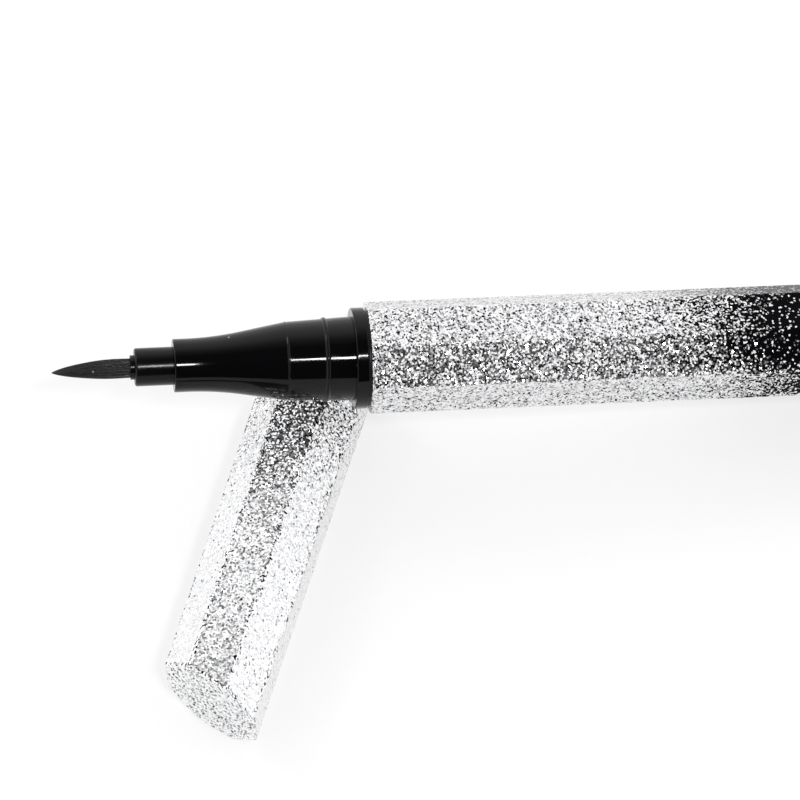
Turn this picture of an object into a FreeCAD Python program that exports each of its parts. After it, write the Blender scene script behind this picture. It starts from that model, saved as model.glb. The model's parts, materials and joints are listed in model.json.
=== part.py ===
"""Liquid eyeliner pen with a brush tip, open, leaning on its own cap.

Millimetres. Every piece is first modelled on the pen's own axis: X runs along the pen, the collar's
front face is x = 0, the brush points to -X and the tail to +X. The cap is modelled where it sits when
it is pushed home. The pen and the cap are then laid on the table: the cap lies on one facet under the
nozzle, and the pen leans on it with the lower edge of its tail on the table. The table is z = 0, and the
origin is the point of the table under the place where the pen's axis passes over the cap's axis.
"""

import FreeCAD, Part
import math
import os

X_AXIS = FreeCAD.Vector(1, 0, 0)
Y_AXIS = FreeCAD.Vector(0, 1, 0)
Z_AXIS = FreeCAD.Vector(0, 0, 1)
SIDES = 8

# Working values that aren't sizes of the product
found_within = 1e-4          # how near an edge or face has to lie to count as the one that is looked for
cut_margin = 1.0             # how far a cutting tool stands clear of the piece that it cuts

# Fits
push_fit = 0.02              # radial room between pieces that are pushed together
running_gap = 0.05           # radial room round the collector's fins
ball_gap = 0.15              # room round the stirring ball where it rests
rest_gap = 0.15              # room between the nozzle and the cap that it leans on

# Barrel and tail
barrel_across_flats = 10.4
barrel_length = 91.0
barrel_bore = 9.0
octagon_edge_radius = 0.35
end_chamfer = 0.15
tail_plug_head = 2.0
tail_plug_spigot = 6.0
tail_plug_wall = 0.9
tail_chamfer = 0.3

# Collar between the barrel and the nozzle
collar_diameter = 9.95
collar_width = 1.25
collar_chamfer = 0.12

# Nozzle
guide_root_diameter = 8.26   # at the collar
guide_front_diameter = 7.72  # at the visible edge where the flare begins
guide_length = 6.5
bead_offset = 2.7            # snap bead, ahead of the collar
bead_width = 0.5
bead_height = 0.15
bead_land = 0.12             # flat top of the bead
flare_length = 7.2
nose_diameter = 5.24
nose_length = 3.9
flare_blend_radius = 15.0
nose_chamfer = 0.2
spigot_length = 12.0
spigot_wall = 0.68
collector_room = 5.5         # how far the collector's chamber reaches ahead of the collar

# Brush tip
sleeve_diameter = 3.75
sleeve_reach = 3.8
sleeve_depth = 6.4
sleeve_chamfer = 0.22
ferrule_wall = 0.23
ferrule_reach = 0.4
ferrule_depth = 4.0
brush_root_diameter = 1.9
brush_belly_diameter = 2.0
brush_reach = 7.65
brush_droop = 0.25
brush_tip_diameter = 0.12
brush_root_depth = 3.0
brush_sections = 9           # sections that the bundle is drawn through, closer together near the point
brush_crowding = 1.6
brush_belly_share = 0.3      # where the belly is widest, as a share of the reach
brush_taper_power = 2.6      # how late the taper sets in
brush_point_power = 0.85     # how sharp the point is

# Ink feed
feed_diameter = 1.5
feed_tail = 3.0              # how far the feed rod stands out behind the collector
feed_point = 1.0
feed_point_diameter = 0.5
collector_core_diameter = 3.0
collector_flange_width = 1.2
collector_lip_width = 0.8
collector_lip_drop = 0.2
collector_tail = 1.8
fin_count = 6
fin_thickness = 0.7
fin_space = 1.8
ink_slot_width = 0.3
air_slot_width = 0.8
seal_thickness = 1.0
seal_side_room = 0.1

# Ink tank
tank_wall = 0.68
tank_length = 62.0
tank_floor = 1.0
tank_rim_width = 0.2
tank_rim_overlap = 0.16
ball_diameter = 3.0

# Cap
cap_mouth_across_flats = 10.5
cap_end_across_flats = 10.0
cap_length = 39.9            # along the axis
cap_end_slant = 20.0         # degrees, the end is cut off obliquely
cap_end_thickness = 2.6      # at the axis
cap_shell_wall = 0.62        # at the middle of a facet, at the mouth
cap_mouth_gap = 0.03         # radial room between the nozzle's guide and the liner
snap_groove_room = 0.04
seal_depth = 3.2             # how much of the nose the inner cap takes in
inner_cap_flange = 1.2
inner_cap_wall = 0.6
brush_room_gap = 0.3         # radial room between the brush's sleeve and the inner cap
inner_cap_foot = 5.8         # from the shell's floor to the floor of the brush's room
gasket_thickness = 0.8
gasket_width = 1.05
gasket_lip = 0.5             # depth of the groove that keeps the gasket in

# How the open pen lies
cap_turn = 68.8              # degrees, the cap's axis seen from above, from the pen's
cap_mouth_beyond = 5.5       # how far the cap's mouth passes the pen's axis
crossing_offset = 4.7        # where the pen's axis crosses the cap's axis, ahead of the collar

# Radii and places worked out from the sizes above
barrel_bore_r = barrel_bore / 2
tank_r = barrel_bore_r - push_fit
tank_bore_r = tank_r - tank_wall
spigot_r = tank_bore_r - push_fit
chamber_r = spigot_r - spigot_wall
fin_r = chamber_r - running_gap
collar_r = collar_diameter / 2
guide_root_r = guide_root_diameter / 2
guide_front_r = guide_front_diameter / 2
nose_r = nose_diameter / 2
sleeve_r = sleeve_diameter / 2
brush_root_r = brush_root_diameter / 2
ferrule_bore_r = brush_root_r + push_fit
ferrule_r = ferrule_bore_r + ferrule_wall
feed_r = feed_diameter / 2
feed_bore_r = feed_r + push_fit
core_r = collector_core_diameter / 2

barrel_front = collar_width + tank_rim_width
barrel_rear = barrel_front + barrel_length
tail_end = barrel_rear + tail_plug_head
nozzle_front = -(guide_length + flare_length + nose_length)
sleeve_front = nozzle_front - sleeve_reach
sleeve_rear = nozzle_front + sleeve_depth
ferrule_front = sleeve_front - ferrule_reach
ferrule_rear = ferrule_front + ferrule_depth
brush_root_rear = ferrule_front + brush_root_depth
brush_point = ferrule_front - brush_reach
flange_rear = spigot_length + collector_flange_width
seal_groove_width = seal_thickness + 2 * seal_side_room
lip_front = flange_rear + seal_groove_width
lip_rear = lip_front + collector_lip_width
collector_rear = lip_rear + collector_tail
feed_rear = collector_rear + feed_tail
tank_front = collar_width
tank_rear = tank_front + tank_length


def ring(outline):
    """Turn a closed outline of (x, radius) points about the pen's axis."""
    corners = [FreeCAD.Vector(x, 0, r) for x, r in outline]
    wire = Part.makePolygon(corners + corners[:1])
    return Part.Face(wire).revolve(FreeCAD.Vector(), X_AXIS, 360)


def tube(x_start, x_end, outer_r, inner_r):
    return ring([(x_start, inner_r), (x_start, outer_r), (x_end, outer_r), (x_end, inner_r)])


def rod(x_start, x_end, radius):
    return Part.makeCylinder(radius, x_end - x_start, FreeCAD.Vector(x_start, 0, 0), X_AXIS)


def circle_edges(solid, x, radius):
    """The solid's round edges of one radius at one place along the axis."""
    found = []
    for edge in solid.Edges:
        curve = edge.Curve
        if not isinstance(curve, Part.Circle):
            continue
        if abs(curve.Radius - radius) < found_within and abs(curve.Center.x - x) < found_within:
            found.append(edge)
    return found


def octagon(across_flats, x):
    """Corners of an octagon square to the axis, with a facet at the bottom."""
    corner_r = across_flats / 2 / math.cos(math.pi / SIDES)
    turns = [2 * math.pi * (number + 0.5) / SIDES for number in range(SIDES)]
    return [FreeCAD.Vector(x, corner_r * math.cos(turn), corner_r * math.sin(turn)) for turn in turns]


def octagon_prism(front_flats, rear_flats, x_front, x_rear):
    """Straight or tapered bar with eight flat facets and rounded edges between them."""
    front = octagon(front_flats, x_front)
    rear = octagon(rear_flats, x_rear)
    outlines = [front[::-1], rear]
    for number in range(SIDES):
        after = (number + 1) % SIDES
        outlines.append([front[number], front[after], rear[after], rear[number]])
    faces = [Part.Face(Part.makePolygon(outline + outline[:1])) for outline in outlines]
    solid = Part.Solid(Part.Shell(faces))
    half_length = abs(x_rear - x_front) / 2
    long_edges = [e for e in solid.Edges if abs(e.Vertexes[0].X - e.Vertexes[1].X) > half_length]
    return solid.makeFillet(octagon_edge_radius, long_edges)


def end_edges(solid, normal, offset):
    """The outer edges of the flat end that lies on one plane."""
    for face in solid.Faces:
        if not isinstance(face.Surface, Part.Plane):
            continue
        on_plane = abs(face.CenterOfMass.dot(normal) - offset) < found_within
        across = face.normalAt(0, 0).cross(normal).Length
        if on_plane and across < found_within:
            return face.OuterWire.Edges
    raise ValueError("no flat end on that plane")


def barrel_shell():
    solid = octagon_prism(barrel_across_flats, barrel_across_flats, barrel_front, barrel_rear)
    solid = solid.makeChamfer(end_chamfer, end_edges(solid, X_AXIS, barrel_front))
    return solid.cut(rod(barrel_front - cut_margin, barrel_rear + cut_margin, barrel_bore_r))


def tail_plug():
    """Octagonal head that closes the barrel, with a hollow spigot pushed into the bore."""
    head = octagon_prism(barrel_across_flats, barrel_across_flats, barrel_rear, tail_end)
    head = head.makeChamfer(tail_chamfer, end_edges(head, X_AXIS, tail_end))
    spigot_outer = barrel_bore_r - push_fit
    spigot_front = barrel_rear - tail_plug_spigot
    spigot = tube(spigot_front, barrel_rear, spigot_outer, spigot_outer - tail_plug_wall)
    return head.fuse(spigot).removeSplitter()


def collar_ring():
    bore_r = spigot_r + push_fit
    return ring([
        (0, bore_r),
        (0, collar_r - collar_chamfer),
        (collar_chamfer, collar_r),
        (collar_width - collar_chamfer, collar_r),
        (collar_width, collar_r - collar_chamfer),
        (collar_width, bore_r),
    ])


def guide_radius(x):
    """The nozzle's radius between the collar and the edge of the flare."""
    return guide_root_r + (guide_root_r - guide_front_r) * x / guide_length


def nozzle_skin():
    """The nozzle's outside: nose, blended flare, guide with its snap bead, shoulder and spigot."""
    flare_foot = nozzle_front + nose_length
    bead_front = -bead_offset - bead_width / 2
    bead_rear = -bead_offset + bead_width / 2
    bead_top_r = guide_radius(-bead_offset) + bead_height
    solid = ring([
        (nozzle_front, 0),
        (nozzle_front, nose_r),
        (flare_foot, nose_r),
        (-guide_length, guide_front_r),
        (bead_front, guide_radius(bead_front)),
        (-bead_offset - bead_land / 2, bead_top_r),
        (-bead_offset + bead_land / 2, bead_top_r),
        (bead_rear, guide_radius(bead_rear)),
        (0, guide_root_r),
        (0, spigot_r),
        (spigot_length, spigot_r),
        (spigot_length, 0),
    ])
    solid = solid.makeFillet(flare_blend_radius, circle_edges(solid, flare_foot, nose_r))
    return solid.makeChamfer(nose_chamfer, circle_edges(solid, nozzle_front, nose_r))


def front_section():
    """Nozzle with the sleeve's socket at the front and the collector's chamber at the back."""
    socket = rod(nozzle_front - cut_margin, sleeve_rear + push_fit, sleeve_r + push_fit)
    passage = rod(sleeve_rear, 0, feed_r + running_gap)
    chamber = rod(-collector_room, spigot_length + cut_margin, chamber_r)
    return nozzle_skin().cut(socket).cut(passage).cut(chamber)


def tip_sleeve():
    solid = rod(sleeve_front, sleeve_rear, sleeve_r)
    solid = solid.makeChamfer(sleeve_chamfer, circle_edges(solid, sleeve_front, sleeve_r))
    ferrule_seat = rod(sleeve_front - cut_margin, ferrule_rear + push_fit, ferrule_r + push_fit)
    passage = rod(ferrule_rear, sleeve_rear + cut_margin, feed_r + running_gap)
    return solid.cut(ferrule_seat).cut(passage)


def brush_ferrule():
    """Thin collar that holds the bristles' root and takes the nose of the feed rod."""
    solid = rod(ferrule_front, ferrule_rear, ferrule_r)
    root_seat = rod(ferrule_front - cut_margin, brush_root_rear + push_fit, ferrule_bore_r)
    passage = rod(brush_root_rear, ferrule_rear + cut_margin, feed_bore_r)
    return solid.cut(root_seat).cut(passage)


def brush_bristles():
    """Bundle of bristles: a round root, a slight belly and a fine point that droops a little."""
    belly_r = brush_belly_diameter / 2
    tip_r = brush_tip_diameter / 2
    sections = []
    for number in range(brush_sections):
        share = 1 - (1 - number / (brush_sections - 1)) ** brush_crowding
        swell = math.sin(math.pi / 2 * min(share / brush_belly_share, 2))
        full = brush_root_r + (belly_r - brush_root_r) * swell
        taper = (1 - share ** brush_taper_power) ** brush_point_power
        radius = tip_r + (full - tip_r) * taper
        centre = FreeCAD.Vector(ferrule_front - brush_reach * share, 0, -brush_droop * share ** 2)
        circle = Part.Circle(centre, FreeCAD.Vector(-1, 0, 0), radius)
        sections.append(Part.Wire(circle.toShape()))
    point = Part.makeLoft(sections, True, True)
    root = rod(ferrule_front, brush_root_rear, brush_root_r)
    return root.fuse(point)


def feed_rod():
    """Fibre rod that carries the ink from the tank to the bristles, pointed in the tank."""
    front = brush_root_rear + push_fit
    shank_end = feed_rear - feed_point
    return ring([
        (front, 0),
        (front, feed_r),
        (shank_end, feed_r),
        (feed_rear, feed_point_diameter / 2),
        (feed_rear, 0),
    ])


def collector():
    """Ink regulator: thin fins on a core, slotted for ink and air, with a flange that stops the tank."""
    pitch = fin_thickness + fin_space
    fins_rear = spigot_length - fin_space
    fins_front = fins_rear - fin_count * pitch + fin_space
    front = -collector_room
    lip_r = tank_bore_r - collector_lip_drop
    groove_r = tank_bore_r - push_fit - seal_thickness - push_fit
    outline = [(front, feed_bore_r), (front, core_r)]
    for number in range(fin_count):
        fin_front = fins_front + number * pitch
        fin_rear = fin_front + fin_thickness
        outline += [(fin_front, core_r), (fin_front, fin_r), (fin_rear, fin_r), (fin_rear, core_r)]
    outline += [
        (spigot_length, core_r),
        (spigot_length, spigot_r),
        (flange_rear, spigot_r),
        (flange_rear, groove_r),
        (lip_front, groove_r),
        (lip_front, lip_r),
        (lip_rear, lip_r),
        (lip_rear, core_r),
        (collector_rear, core_r),
        (collector_rear, feed_bore_r),
    ]
    solid = ring(outline)
    slot_length = spigot_length - front
    slot_height = 2 * chamber_r
    ink_corner = FreeCAD.Vector(front, -ink_slot_width / 2, core_r)
    ink_slot = Part.makeBox(slot_length, ink_slot_width, slot_height, ink_corner)
    air_corner = FreeCAD.Vector(front, -air_slot_width / 2, -core_r - slot_height)
    air_slot = Part.makeBox(slot_length, air_slot_width, slot_height, air_corner)
    return solid.cut(ink_slot).cut(air_slot)


def collector_seal():
    """Square-cut sealing ring in the collector's groove, against the tank's wall."""
    outer_r = tank_bore_r - push_fit
    front = flange_rear + seal_side_room
    return tube(front, front + seal_thickness, outer_r, outer_r - seal_thickness)


def ink_tank():
    """Closed tube with a thin rim that stops on the barrel's front face."""
    rim_r = barrel_bore_r + tank_rim_overlap
    return ring([
        (tank_front, tank_bore_r),
        (tank_front, rim_r),
        (barrel_front, rim_r),
        (barrel_front, tank_r),
        (tank_rear, tank_r),
        (tank_rear, 0),
        (tank_rear - tank_floor, 0),
        (tank_rear - tank_floor, tank_bore_r),
    ])


def stirring_ball():
    """Steel ball that lies at the tail end of the tank, on its lower wall."""
    radius = ball_diameter / 2
    x = tank_rear - tank_floor - ball_gap - radius
    z = radius + ball_gap - tank_bore_r
    return Part.makeSphere(radius, FreeCAD.Vector(x, 0, z))


# The cap's own radii, from the nozzle that it closes over
liner_bore_r = guide_root_r + cap_mouth_gap
shell_bore_r = cap_mouth_across_flats / 2 - cap_shell_wall
liner_r = shell_bore_r - push_fit
seal_bore_r = nose_r + cap_mouth_gap
gasket_seat_r = seal_bore_r + gasket_lip
slant = math.tan(math.radians(cap_end_slant))
cap_floor = -(cap_length - cap_end_thickness)
inner_cap_front = nozzle_front + seal_depth
gasket_front = nozzle_front - cap_mouth_gap
gasket_rear = gasket_front - gasket_thickness
brush_room_rear = cap_floor + inner_cap_foot
liner_rear = inner_cap_front + push_fit


def cap_shell():
    """Tapered octagonal shell with an obliquely cut, flat closed end."""
    overlength = cap_length + cap_mouth_across_flats * slant
    taper = (cap_mouth_across_flats - cap_end_across_flats) / cap_length
    far_flats = cap_mouth_across_flats - taper * overlength
    solid = octagon_prism(far_flats, cap_mouth_across_flats, -overlength, 0)
    waste_size = 4 * cap_length
    waste = Part.makeBox(waste_size, waste_size, waste_size)
    waste.translate(FreeCAD.Vector(-waste_size, -waste_size / 2, -waste_size / 2))
    waste.rotate(FreeCAD.Vector(), Z_AXIS, -cap_end_slant)
    waste.translate(FreeCAD.Vector(-cap_length, 0, 0))
    solid = solid.cut(waste)
    end_turn = math.radians(cap_end_slant)
    end_normal = FreeCAD.Vector(-math.cos(end_turn), math.sin(end_turn), 0)
    end_offset = end_normal.dot(FreeCAD.Vector(-cap_length, 0, 0))
    solid = solid.makeChamfer(end_chamfer, end_edges(solid, end_normal, end_offset))
    solid = solid.makeChamfer(end_chamfer, end_edges(solid, X_AXIS, 0))
    return solid.cut(rod(cap_floor, cut_margin, shell_bore_r))


def cap_liner():
    """Sleeve in the shell's mouth with a groove for the nozzle's bead; it keeps the inner cap in."""
    groove_r = guide_radius(-bead_offset) + bead_height + snap_groove_room
    groove_front = -bead_offset - bead_width / 2 - snap_groove_room
    groove_rear = -bead_offset + bead_width / 2 + snap_groove_room
    return ring([
        (liner_rear, liner_bore_r),
        (liner_rear, liner_r),
        (0, liner_r),
        (0, liner_bore_r),
        (groove_rear, liner_bore_r),
        (groove_rear, groove_r),
        (groove_front, groove_r),
        (groove_front, liner_bore_r),
    ])


def inner_cap():
    """Thin cup that seals round the nose and keeps the brush from drying, on two flanges in the shell."""
    brush_room_r = sleeve_r + brush_room_gap
    floor_rear = brush_room_rear - inner_cap_wall
    seal_outer_r = gasket_seat_r + inner_cap_wall
    room_outer_r = brush_room_r + inner_cap_wall
    foot = cap_floor + push_fit
    return ring([
        (inner_cap_front, seal_bore_r),
        (inner_cap_front, liner_r),
        (inner_cap_front - inner_cap_flange, liner_r),
        (inner_cap_front - inner_cap_flange, seal_outer_r),
        (gasket_rear - inner_cap_wall, seal_outer_r),
        (gasket_rear - inner_cap_wall, room_outer_r),
        (foot + inner_cap_flange, room_outer_r),
        (foot + inner_cap_flange, liner_r),
        (foot, liner_r),
        (foot, brush_room_r),
        (floor_rear, brush_room_r),
        (floor_rear, 0),
        (brush_room_rear, 0),
        (brush_room_rear, brush_room_r),
        (gasket_rear, brush_room_r),
        (gasket_rear, gasket_seat_r),
        (gasket_front, gasket_seat_r),
        (gasket_front, seal_bore_r),
    ])


def cap_gasket():
    """Soft ring in its own groove at the bottom of the seal, which the nozzle's front face presses on."""
    outer_r = gasket_seat_r - push_fit
    return tube(gasket_rear, gasket_front, outer_r, outer_r - gasket_width)


# How far the pen tips up: the lower edge of its tail is on the table, its bead just over the cap
cap_half_angle = math.degrees(math.atan((cap_mouth_across_flats - cap_end_across_flats) / 2 / cap_length))
cap_axis_height = cap_mouth_across_flats / 2 * math.cos(math.radians(cap_half_angle))
cap_height = 2 * cap_axis_height
bead_r = guide_radius(-bead_offset) + bead_height
tail_edge_x = tail_end - tail_chamfer
tail_edge_z = barrel_across_flats / 2
lean_arm = tail_edge_x + bead_offset
lean_drop = tail_edge_z - bead_r
lean_height = cap_height + rest_gap
tilt = math.asin(lean_height / math.hypot(lean_arm, lean_drop)) - math.atan2(lean_drop, lean_arm)
pen_tilt = math.degrees(tilt)

# Where the pen's own origin and the cap's mouth come to lie on the table
pen_x = crossing_offset * math.cos(tilt)
pen_z = tail_edge_x * math.sin(tilt) + tail_edge_z * math.cos(tilt)
pen_place = FreeCAD.Placement(FreeCAD.Vector(pen_x, 0, pen_z), FreeCAD.Rotation(Y_AXIS, pen_tilt))
turn = math.radians(cap_turn)
mouth_run = cap_mouth_beyond / math.sin(turn)
mouth_place = FreeCAD.Vector(mouth_run * math.cos(turn), mouth_run * math.sin(turn), cap_axis_height)
cap_level = FreeCAD.Rotation(Y_AXIS, -cap_half_angle)
cap_place = FreeCAD.Placement(mouth_place, FreeCAD.Rotation(Z_AXIS, cap_turn).multiply(cap_level))

PEN_PIECES = (
    barrel_shell, tail_plug, collar_ring, front_section, tip_sleeve, brush_ferrule, brush_bristles,
    feed_rod, collector, collector_seal, ink_tank, stirring_ball,
)
CAP_PIECES = (cap_shell, cap_liner, inner_cap, cap_gasket)


def write_pieces(pieces, place):
    for make in pieces:
        laid = make().transformed(place.toMatrix(), copy=True)
        laid.exportStep("parts/" + make.__name__ + ".step")
        box = laid.BoundBox
        print("%-16s solids %d  volume %8.2f  z %.2f to %.2f" % (
            make.__name__, len(laid.Solids), laid.Volume, box.ZMin, box.ZMax))


os.makedirs("parts", exist_ok=True)
write_pieces(PEN_PIECES, pen_place)
write_pieces(CAP_PIECES, cap_place)
print("pen tilt %.2f degrees, cap taper %.2f degrees" % (pen_tilt, cap_half_angle))
print("room beyond the brush's point in the closed cap %.2f" % (brush_point - brush_room_rear))
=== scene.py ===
# %% [markdown]
# # An open liquid eyeliner pen, leaning on its own cap
#
# This lesson dresses a imported CAD model of a small cosmetic pen. The CAD gives every size and place, and
# Blender adds what solids can't show: glitter under lacquer, polished black plastic and a damp brush.
# We start by loading the frame.

# %% Load the frame
import json
import math
import random

import bpy
from mathutils import Matrix, Vector


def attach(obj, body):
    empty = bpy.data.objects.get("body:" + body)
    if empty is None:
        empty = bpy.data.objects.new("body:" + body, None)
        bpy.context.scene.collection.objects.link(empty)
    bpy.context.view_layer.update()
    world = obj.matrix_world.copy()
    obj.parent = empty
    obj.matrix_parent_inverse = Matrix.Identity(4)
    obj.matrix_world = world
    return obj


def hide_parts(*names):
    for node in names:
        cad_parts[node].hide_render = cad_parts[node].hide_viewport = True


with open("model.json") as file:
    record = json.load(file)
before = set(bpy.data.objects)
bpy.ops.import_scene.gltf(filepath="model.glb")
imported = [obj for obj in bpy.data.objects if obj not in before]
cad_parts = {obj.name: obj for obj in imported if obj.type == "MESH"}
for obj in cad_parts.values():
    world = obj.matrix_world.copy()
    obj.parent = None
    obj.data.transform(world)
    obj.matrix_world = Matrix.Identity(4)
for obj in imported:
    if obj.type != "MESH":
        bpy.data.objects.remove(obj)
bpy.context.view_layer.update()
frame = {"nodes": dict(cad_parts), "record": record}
nodes = frame["nodes"]
mounts = {mount["name"]: mount for mount in frame["record"]["mounts"]}
scene = bpy.context.scene
scene.view_settings.view_transform = "Standard"
MM = 0.001

# %% [markdown]
# ## Two working frames
#
# The pen lies tilted and the cap lies askew, so modelling in world axes would be awkward. Each gets a
# matrix of its own whose X axis is the piece's own axis: on the pen, x = 0 is the front of the collar and
# the brush is at negative x, and on the cap, x = 0 is the mouth. The record's mounts tell us where both
# lie. A finish can use the same frames, so it knows for free how far along the pen a point is.

# %% Working frames of the pen and the cap
COLLAR_TO_TAIL = 94.45
UP = Vector((0, 0, 1))


def working_frame(origin, along):
    """Matrix with X along an axis and Y level with the table."""
    x_axis = Vector(along).normalized()
    y_axis = UP.cross(x_axis).normalized()
    z_axis = x_axis.cross(y_axis)
    turned_axes = Matrix((x_axis, y_axis, z_axis)).transposed().to_4x4()
    return Matrix.Translation(origin) @ turned_axes


tail = mounts["tail_end"]
tail_way = Vector(tail["axis"])
pen_frame = working_frame(Vector(tail["pos_m"]) - tail_way * COLLAR_TO_TAIL * MM, tail_way)
mouth = mounts["cap_mouth"]
mouth_way = Vector(mouth["axis"])
half_mouth = mouth["dims"]["length_mm"] / 2
cap_frame = working_frame(Vector(mouth["pos_m"]) + mouth_way * half_mouth * MM, mouth_way)
print("collar front at", [round(c / MM, 2) for c in pen_frame.translation], "mm")
print("cap mouth at", [round(c / MM, 2) for c in cap_frame.translation], "mm")

# %% [markdown]
# ## Camera
#
# A long lens about half a metre away looks down on the table. The angles were found by lining up the
# brush's point, the collar, the barrel's edges and the corners of the cap's end with the photograph. The
# camera's axes are written out as a matrix, because a small roll is easier to read that way than as angles.

# %% Camera
CAMERA_AZIMUTH = math.radians(-3.676)
CAMERA_ELEVATION = math.radians(56.922)
CAMERA_ROLL = math.radians(-2.481)
CAMERA_DISTANCE = 450.0
CAMERA_AIM = (9.232, -0.077)
AIM_HEIGHT = 8.0
FOCAL_PIXELS = 4526.9
IMAGE_PIXELS = 800
SENSOR_WIDTH = 36
CLIP_NEAR = 0.01
CLIP_FAR = 20

level = math.cos(CAMERA_ELEVATION)
look = Vector((
    -math.sin(CAMERA_AZIMUTH) * level,
    math.cos(CAMERA_AZIMUTH) * level,
    -math.sin(CAMERA_ELEVATION),
))
flat_right = Vector((math.cos(CAMERA_AZIMUTH), math.sin(CAMERA_AZIMUTH), 0))
flat_up = flat_right.cross(look)
right = flat_right * math.cos(CAMERA_ROLL) + flat_up * math.sin(CAMERA_ROLL)
above = flat_up * math.cos(CAMERA_ROLL) - flat_right * math.sin(CAMERA_ROLL)
aim = Vector((0, 0, AIM_HEIGHT)) + right * CAMERA_AIM[0] + above * CAMERA_AIM[1]
camera_axes = Matrix((right, above, -look)).transposed().to_4x4()

camera_data = bpy.data.cameras.new("camera")
camera_data.sensor_width = SENSOR_WIDTH
camera_data.lens = SENSOR_WIDTH * (FOCAL_PIXELS / IMAGE_PIXELS)
camera_data.clip_start = CLIP_NEAR
camera_data.clip_end = CLIP_FAR
camera = bpy.data.objects.new("camera", camera_data)
camera.matrix_world = Matrix.Translation((aim - look * CAMERA_DISTANCE) * MM) @ camera_axes
scene.collection.objects.link(camera)
scene.camera = camera
print("camera lens %.0f mm, at" % camera_data.lens, [round(c, 3) for c in camera.location])

# %% [markdown]
# ## Skins from loops
#
# Every rigid piece of a pen is a stack of loops: circles for what is turned on a lathe, rounded octagons
# for the barrel and the cap. One helper joins neighbouring loops with quads. The alternatives, a bevelled
# cylinder or a boolean, leave us little say over how the edges catch the light, and edges are what a
# glossy piece is read by. Flat facets get a weighted-normal modifier, so that they shade truly flat.

# %% Loops: circles and rounded octagons
SIDES = 8
CORNER_STEPS = 6
EDGE_RADIUS = 0.35
LEAST_RADIUS = 0.03
NOMINAL_FLATS = 10


def circle_loop(x, radius, angles):
    return [(x, radius * math.cos(a), radius * math.sin(a)) for a in angles]


def octagon_outline(across_flats, corner_radius):
    """Points (y, z) of an octagon with a facet at the bottom and rounded corners."""
    points = []
    for side in range(SIDES):
        corner = 2 * math.pi * (side + 0.5) / SIDES
        centre = (across_flats / 2 - corner_radius) / math.cos(math.pi / SIDES)
        for step in range(CORNER_STEPS + 1):
            turn = corner + math.pi / SIDES * (2 * step / CORNER_STEPS - 1)
            points.append((
                centre * math.cos(corner) + corner_radius * math.cos(turn),
                centre * math.sin(corner) + corner_radius * math.sin(turn),
            ))
    return points


def octagon_loop(x, across_flats, corner_radius):
    return [(x, y, z) for y, z in octagon_outline(across_flats, corner_radius)]


OCTAGON_ANGLES = [math.atan2(z, y) for y, z in octagon_outline(NOMINAL_FLATS, EDGE_RADIUS)]
print("an octagon loop has", len(OCTAGON_ANGLES), "points")

# %% A skin over loops
SHARP_ANGLE = math.radians(35)


def skin(name, loops, place, closed=False):
    """Mesh object of quads between loops; an open stack gets a face over each end."""
    count = len(loops[0])
    points = [place @ (Vector(point) * MM) for loop in loops for point in loop]
    faces = []
    rows = len(loops) if closed else len(loops) - 1
    for row in range(rows):
        here = row * count
        there = (row + 1) % len(loops) * count
        for n in range(count):
            after = (n + 1) % count
            faces.append((here + n, here + after, there + after, there + n))
    if not closed:
        faces.append(tuple(reversed(range(count))))
        faces.append(tuple(range((len(loops) - 1) * count, len(loops) * count)))
    mesh = bpy.data.meshes.new(name)
    mesh.from_pydata(points, [], faces)
    mesh.shade_smooth()
    mesh.set_sharp_from_angle(angle=SHARP_ANGLE)
    piece = bpy.data.objects.new(name, mesh)
    scene.collection.objects.link(piece)
    return piece


def face_outwards(piece):
    """Turn the mesh inside out if its volume comes out negative."""
    mesh = piece.data
    volume = 0
    for face in mesh.polygons:
        corners = [mesh.vertices[v].co for v in face.vertices]
        for n in range(1, len(corners) - 1):
            volume += corners[0].dot(corners[n].cross(corners[n + 1]))
    if volume < 0:
        mesh.flip_normals()
    print("%s: %d faces, %.1f cubic mm" % (piece.name, len(mesh.polygons), abs(volume) / 6 / MM ** 3))


def finish_piece(piece, body, slot, *cad_nodes):
    """Face the piece outwards, keep its facets flat and hang it on the frame."""
    face_outwards(piece)
    weighted = piece.modifiers.new("flat facets", "WEIGHTED_NORMAL")
    weighted.keep_sharp = True
    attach(piece, body)
    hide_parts(*cad_nodes)
    return piece


# %% [markdown]
# ## A lathe
#
# A turned piece is a closed profile of (x, radius) points that is swept round the pen's axis. Blender's
# Screw modifier could do that too, but in code we can add two extra loops near the ends of every long run.
# They hold the shading of the run flat, so that only the small roundings bend the light.

# %% Lathe helpers
TURN_STEPS = 192
HOLD = 0.08
TURN_ANGLES = [2 * math.pi * number / TURN_STEPS for number in range(TURN_STEPS)]


def turned(name, profile, place):
    """Turn a closed (x, radius) profile round the X axis; long runs are held flat near their ends."""
    held = []
    for (x, r), (next_x, next_r) in zip(profile, profile[1:] + profile[:1]):
        held.append((x, r))
        run = math.hypot(next_x - x, next_r - r)
        if run > 4 * HOLD:
            for share in (HOLD / run, 1 - HOLD / run):
                held.append((x + (next_x - x) * share, r + (next_r - r) * share))
    return skin(name, [circle_loop(x, r, TURN_ANGLES) for x, r in held], place, closed=True)


def arc(x, radius, size, start, end, steps=6):
    """Points of a rounding in a profile, centred on (x, radius); angles in degrees."""
    turns = [math.radians(start + (end - start) * n / steps) for n in range(steps + 1)]
    return [(x + size * math.cos(t), radius + size * math.sin(t)) for t in turns]


# %% [markdown]
# ## Black nozzle
#
# The nozzle is one polished moulding: a straight nose, a flare that starts in a long soft curve, and a
# slightly tapered guide with a low snap bead for the cap. All of it is round, so a lathe profile is the
# natural way. Each sharp corner of the profile gets a small arc, since a real mould can't make a knife
# edge, and that arc is what draws the bright rim round the front. Where the flare meets the guide, a lip of
# a few hundredths of a millimetre catches the light as a thin line.

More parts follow.
